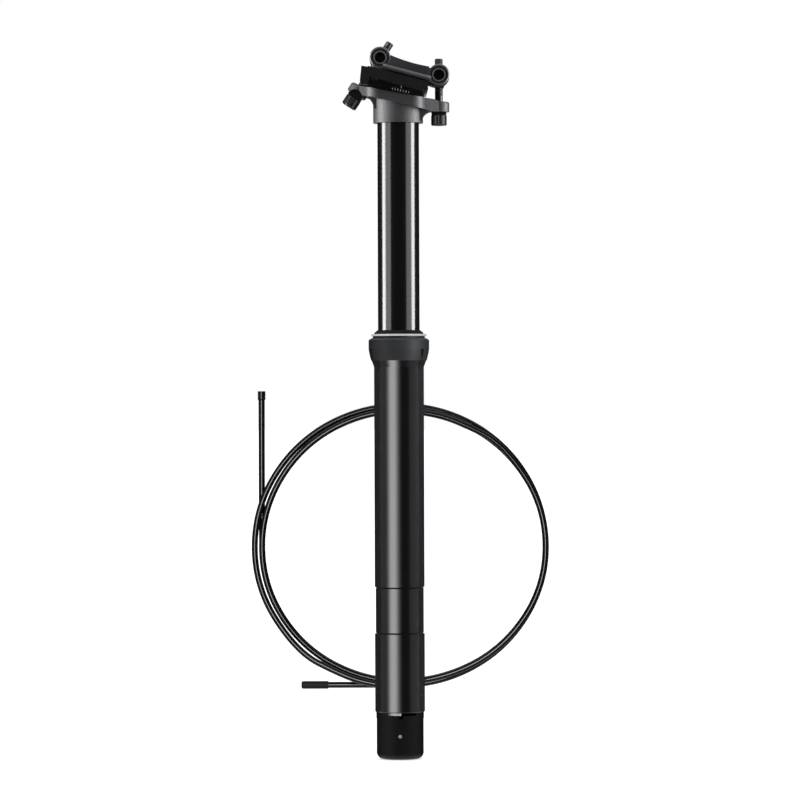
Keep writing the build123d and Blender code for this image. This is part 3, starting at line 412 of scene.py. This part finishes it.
def makeCurve(name, points, radius, material):
    curve = bpy.data.curves.new(name, "CURVE")
    curve.dimensions = "3D"
    curve.bevel_depth = radius
    curve.bevel_resolution = 6
    curve.resolution_u = 12
    curve.use_fill_caps = True
    spline = curve.splines.new("NURBS")
    spline.points.add(len(points) - 1)
    for slot, point in zip(spline.points, points):
        slot.co = (*point, 1)
    spline.order_u = 3
    spline.use_endpoint_u = True
    curve.materials.append(material)
    piece = bpy.data.objects.new(name, curve)
    bpy.context.collection.objects.link(piece)
    return piece


def curveLength(piece):
    bare = piece.data.copy()
    bare.bevel_depth = 0
    probe = bpy.data.objects.new("probe", bare)
    line = [v.co.copy() for v in bpy.data.meshes.new_from_object(probe).vertices]
    bpy.data.objects.remove(probe)
    return sum((b - a).length for a, b in zip(line, line[1:]))


cordPoints = housingPoints()
cord = makeCurve("cable_housing", cordPoints, housing["diameter"] / 2 * mm, finishes["sleeve"])
cordLength = curveLength(cord)
print("cord length", round(cordLength, 4))
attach(cord, "lower_post")
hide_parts("housing_upper_tail", "housing_first_winding", "housing_back_run", "housing_second_winding",
            "housing_lower_tail")
print("stage: cord")


def finishMesh(name, shape, material, body, smooth=True):
    mesh = bpy.data.meshes.new(name)
    bmesh.ops.recalc_face_normals(shape, faces=shape.faces)
    shape.to_mesh(mesh)
    shape.free()
    for face in mesh.polygons:
        face.use_smooth = smooth
    mesh.materials.append(material)
    piece = bpy.data.objects.new(name, mesh)
    bpy.context.collection.objects.link(piece)
    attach(piece, body)
    return piece


# Tilt marks on both sides of the keel: a row of short ticks and a longer one over its middle
tilt = {"middle": (1.6, 174.3), "side": 15, "proud": 0.04, "width": 0.4, "slope": -13,
        "count": 7, "step": 1.75, "short": (-0.7, 0.7), "long": (1.4, 3.6)}


def tiltMarks():
    shape = bmesh.new()
    first = -tilt["step"] * (tilt["count"] - 1) / 2
    spans = [(first + tilt["step"] * i, tilt["short"]) for i in range(tilt["count"])]
    spans.append((0, tilt["long"]))
    turned = Matrix.Rotation(-math.radians(tilt["slope"]), 4, "Y")
    for side in (-1, 1):
        middle = Matrix.Translation(Vector((tilt["middle"][0], side * tilt["side"], tilt["middle"][1])) * mm)
        for place, (low, high) in spans:
            offset = Matrix.Translation(Vector((place, 0, (low + high) / 2)) * mm)
            size = Matrix.Diagonal((*(Vector((tilt["width"], 2 * tilt["proud"], high - low)) * mm), 1))
            bmesh.ops.create_cube(shape, size=1, matrix=middle @ turned @ offset @ size)
    return finishMesh("tilt_marks", shape, finishes["mark"], "saddle_clamp", smooth=False)


tiltMarks()

# The cable barrel turns in the lever's bore, so its side keeps a little clear of it
barrel = {"centre": (-6.955, 0, -231.337), "share": 0.97}


def cableBarrel():
    shape = bmesh.new()
    shape.from_mesh(nodes["cable_barrel"].data)
    bmesh.ops.remove_doubles(shape, verts=shape.verts, dist=0.001 * mm)
    bmesh.ops.scale(shape, vec=(barrel["share"], 1, barrel["share"]), verts=shape.verts,
                    space=Matrix.Translation(Vector(barrel["centre"]) * -mm))
    piece = finishMesh("clear_cable_barrel", shape, finishes["brass"], "barrel_body", smooth=False)
    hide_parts("cable_barrel")
    return piece


cableBarrel()
print("stage: marks and barrel")

# Pure white to the eye and in the gloss, and a plain level on the object
worldLevels = {"plain": 0.8, "white": 1.0}
world = bpy.data.worlds.new("world")
bpy.context.scene.world = world
world.use_nodes = True
tree = world.node_tree
tree.nodes.clear()
paths = addNode(tree, "ShaderNodeLightPath")
seen = addNode(tree, "ShaderNodeMath", {0: paths.outputs["Is Camera Ray"], 1: paths.outputs["Is Glossy Ray"]},
               operation="MAXIMUM")
seen = addNode(tree, "ShaderNodeMath", {0: seen.outputs[0], 1: paths.outputs["Is Transmission Ray"]},
               operation="MAXIMUM")
plain = addNode(tree, "ShaderNodeBackground", Color=(1, 1, 1, 1), Strength=worldLevels["plain"])
white = addNode(tree, "ShaderNodeBackground", Color=(1, 1, 1, 1), Strength=worldLevels["white"])
mixed = addNode(tree, "ShaderNodeMixShader", {0: seen.outputs[0], 1: plain.outputs[0], 2: white.outputs[0]})
addNode(tree, "ShaderNodeOutputWorld", {"Surface": mixed.outputs[0]})


def litGroup(name, pieces):
    # The pieces that a lamp lights
    group = bpy.data.collections.new(name)
    for piece in pieces:
        group.objects.link(piece)
    return group


cordGroup = litGroup("cord_group", [cord, nodes["housing_ferrule"], nodes["housing_boot"]])
tubeGroup = litGroup("tube_group", [nodes["outer_tube"]])
lowerNames = ("outer_tube", "actuator_housing", "collar", "wiper_ring", "wiper_seal", "housing_ferrule",
              "housing_boot")
upperGroup = litGroup("upper_group", [piece for name, piece in nodes.items() if name not in lowerNames])
rightGroup = litGroup("right_group", list(upperGroup.objects) + [nodes["collar"]])


def addLamp(name, azimuth, width, radiance, group, height=2.2, distance=1.7, without=()):
    # An upright panel at an angle from the camera, to the left where it is negative, for a group of pieces.
    # Its width is the angle that it spans. without names what it leaves out: diffuse or glossy
    data = bpy.data.lights.new(name, "AREA")
    data.shape = "RECTANGLE"
    data.size = 2 * distance * math.tan(math.radians(width / 2))
    data.size_y = height
    data.energy = radiance * math.pi * data.size * data.size_y
    lamp = bpy.data.objects.new(name, data)
    turn = math.radians(azimuth)
    lamp.location = (distance * math.sin(turn), -distance * math.cos(turn), 0)
    lamp.rotation_euler = (math.pi / 2, 0, turn)
    lamp.light_linking.receiver_collection = group
    for kind in without:
        setattr(lamp, "visible_" + kind, False)
    bpy.context.collection.objects.link(lamp)
    return lamp


lamps = {
    "left_strip": dict(azimuth=-88, width=22, radiance=22, group=upperGroup),
    "left_panel": dict(azimuth=-60, width=34, radiance=3.2, group=upperGroup),
    "right_strip": dict(azimuth=88, width=22, radiance=20, group=upperGroup),
    "right_panel": dict(azimuth=60, width=34, radiance=2.8, group=rightGroup),
    # One soft-edged band on the lower tube, from four panels
    "tube_panel_26": dict(azimuth=-30, width=26, radiance=3.4, group=tubeGroup, height=4.5, without=["diffuse"]),
    "tube_panel_40": dict(azimuth=-29, width=40, radiance=3.2, group=tubeGroup, height=4.5, without=["diffuse"]),
    "tube_panel_54": dict(azimuth=-28, width=54, radiance=1.4, group=tubeGroup, height=4.5, without=["diffuse"]),
    "tube_panel_66": dict(azimuth=-27, width=66, radiance=0.5, group=tubeGroup, height=4.5, without=["diffuse"]),
    "tube_left": dict(azimuth=-112, width=40, radiance=30, group=tubeGroup, without=["glossy"]),
    "tube_right": dict(azimuth=112, width=40, radiance=48, group=tubeGroup, without=["glossy"]),
    "cord_panel": dict(azimuth=-9, width=22, radiance=22, group=cordGroup, height=0.8, without=["diffuse"]),
    "top_panel": dict(azimuth=0, width=40, radiance=2.0, group=rightGroup, height=1.2),
}
placed = {name: addLamp(name, **lamp) for name, lamp in lamps.items()}
placed["top_panel"].location = (0, -0.5, 1.6)  # overhead, tipped towards the clamp
placed["top_panel"].rotation_euler = (math.radians(17), 0, 0)


def cardMaterial(name, glow):
    material = bpy.data.materials.new(name)
    material.use_nodes = True
    shader = material.node_tree.nodes["Principled BSDF"]
    shader.inputs["Base Color"].default_value = linear("#060606")
    shader.inputs["Roughness"].default_value = 1
    shader.inputs["Specular IOR Level"].default_value = 0
    shader.inputs["Emission Color"].default_value = (1, 1, 1, 1)
    shader.inputs["Emission Strength"].default_value = glow
    return material


def addCard(azimuth, width, height=2.4, distance=1.6, glow=0.0):
    # A card that only shows in the object's gloss, as beside a product on a white set
    half = distance * math.tan(math.radians(width / 2))
    turn = math.radians(azimuth)
    middle = Vector((distance * math.sin(turn), -distance * math.cos(turn), 0))
    side = Vector((math.cos(turn), math.sin(turn), 0)) * half
    up = Vector((0, 0, height / 2))
    card = bmesh.new()
    card.faces.new([card.verts.new(middle + a * side + b * up) for a, b in ((-1, -1), (1, -1), (1, 1), (-1, 1))])
    mesh = bpy.data.meshes.new("card")
    card.to_mesh(mesh)
    card.free()
    mesh.materials.append(cardMaterial("card_" + str(azimuth), glow))
    piece = bpy.data.objects.new("card", mesh)
    bpy.context.collection.objects.link(piece)
    piece.visible_camera = False
    piece.visible_diffuse = False
    piece.visible_shadow = False


cards = [
    dict(azimuth=-137, width=76), dict(azimuth=137, width=76),
    dict(azimuth=-80, width=42, height=7, distance=3.2, glow=0.35),
    dict(azimuth=73, width=50, height=7, distance=3.2, glow=0.4),
    dict(azimuth=2, width=92, height=7, distance=3.2),
]
for card in cards:
    addCard(**card)

# A white floor under the post, which keeps its shadow. It glows a little to the camera alone, and the
# post's gloss shows the world in its place
floorLook = {"half": 30, "gap": 0.2, "glow": 0.55}
shape = bmesh.new()
bmesh.ops.create_grid(shape, x_segments=1, y_segments=1, size=floorLook["half"])
bmesh.ops.translate(shape, verts=shape.verts, vec=(0, 0, cadBox[0][2] - floorLook["gap"] * mm))
floorMesh = bpy.data.meshes.new("floor")
shape.to_mesh(floorMesh)
shape.free()
floor = bpy.data.objects.new("floor", floorMesh)
bpy.context.collection.objects.link(floor)
floorMaterial = makeFinish("pale_floor", "#fbfbfb", "#ffffff", 0.9, specular=0.0, grain=4, bump=0.0)
floorTree = floorMaterial.node_tree
floorPaths = addNode(floorTree, "ShaderNodeLightPath")
glow = addNode(floorTree, "ShaderNodeMath", {0: floorPaths.outputs["Is Camera Ray"]}, operation="MULTIPLY")
glow.inputs[1].default_value = floorLook["glow"]
lit = addNode(floorTree, "ShaderNodeEmission", {"Strength": glow.outputs[0]}, Color=(1, 1, 1, 1))
joined = addNode(floorTree, "ShaderNodeAddShader", {0: floorTree.nodes["Principled BSDF"].outputs[0],
                                                    1: lit.outputs[0]})
# From below the floor lets the post be seen
face = addNode(floorTree, "ShaderNodeNewGeometry")
clear = addNode(floorTree, "ShaderNodeBsdfTransparent")
oneSided = addNode(floorTree, "ShaderNodeMixShader", {0: face.outputs["Backfacing"], 1: joined.outputs[0],
                                                      2: clear.outputs[0]})
floorTree.links.new(oneSided.outputs[0], floorTree.nodes["Material Output"].inputs["Surface"])
floorMesh.materials.append(floorMaterial)
floor.visible_glossy = False
print("stage: light and floor")
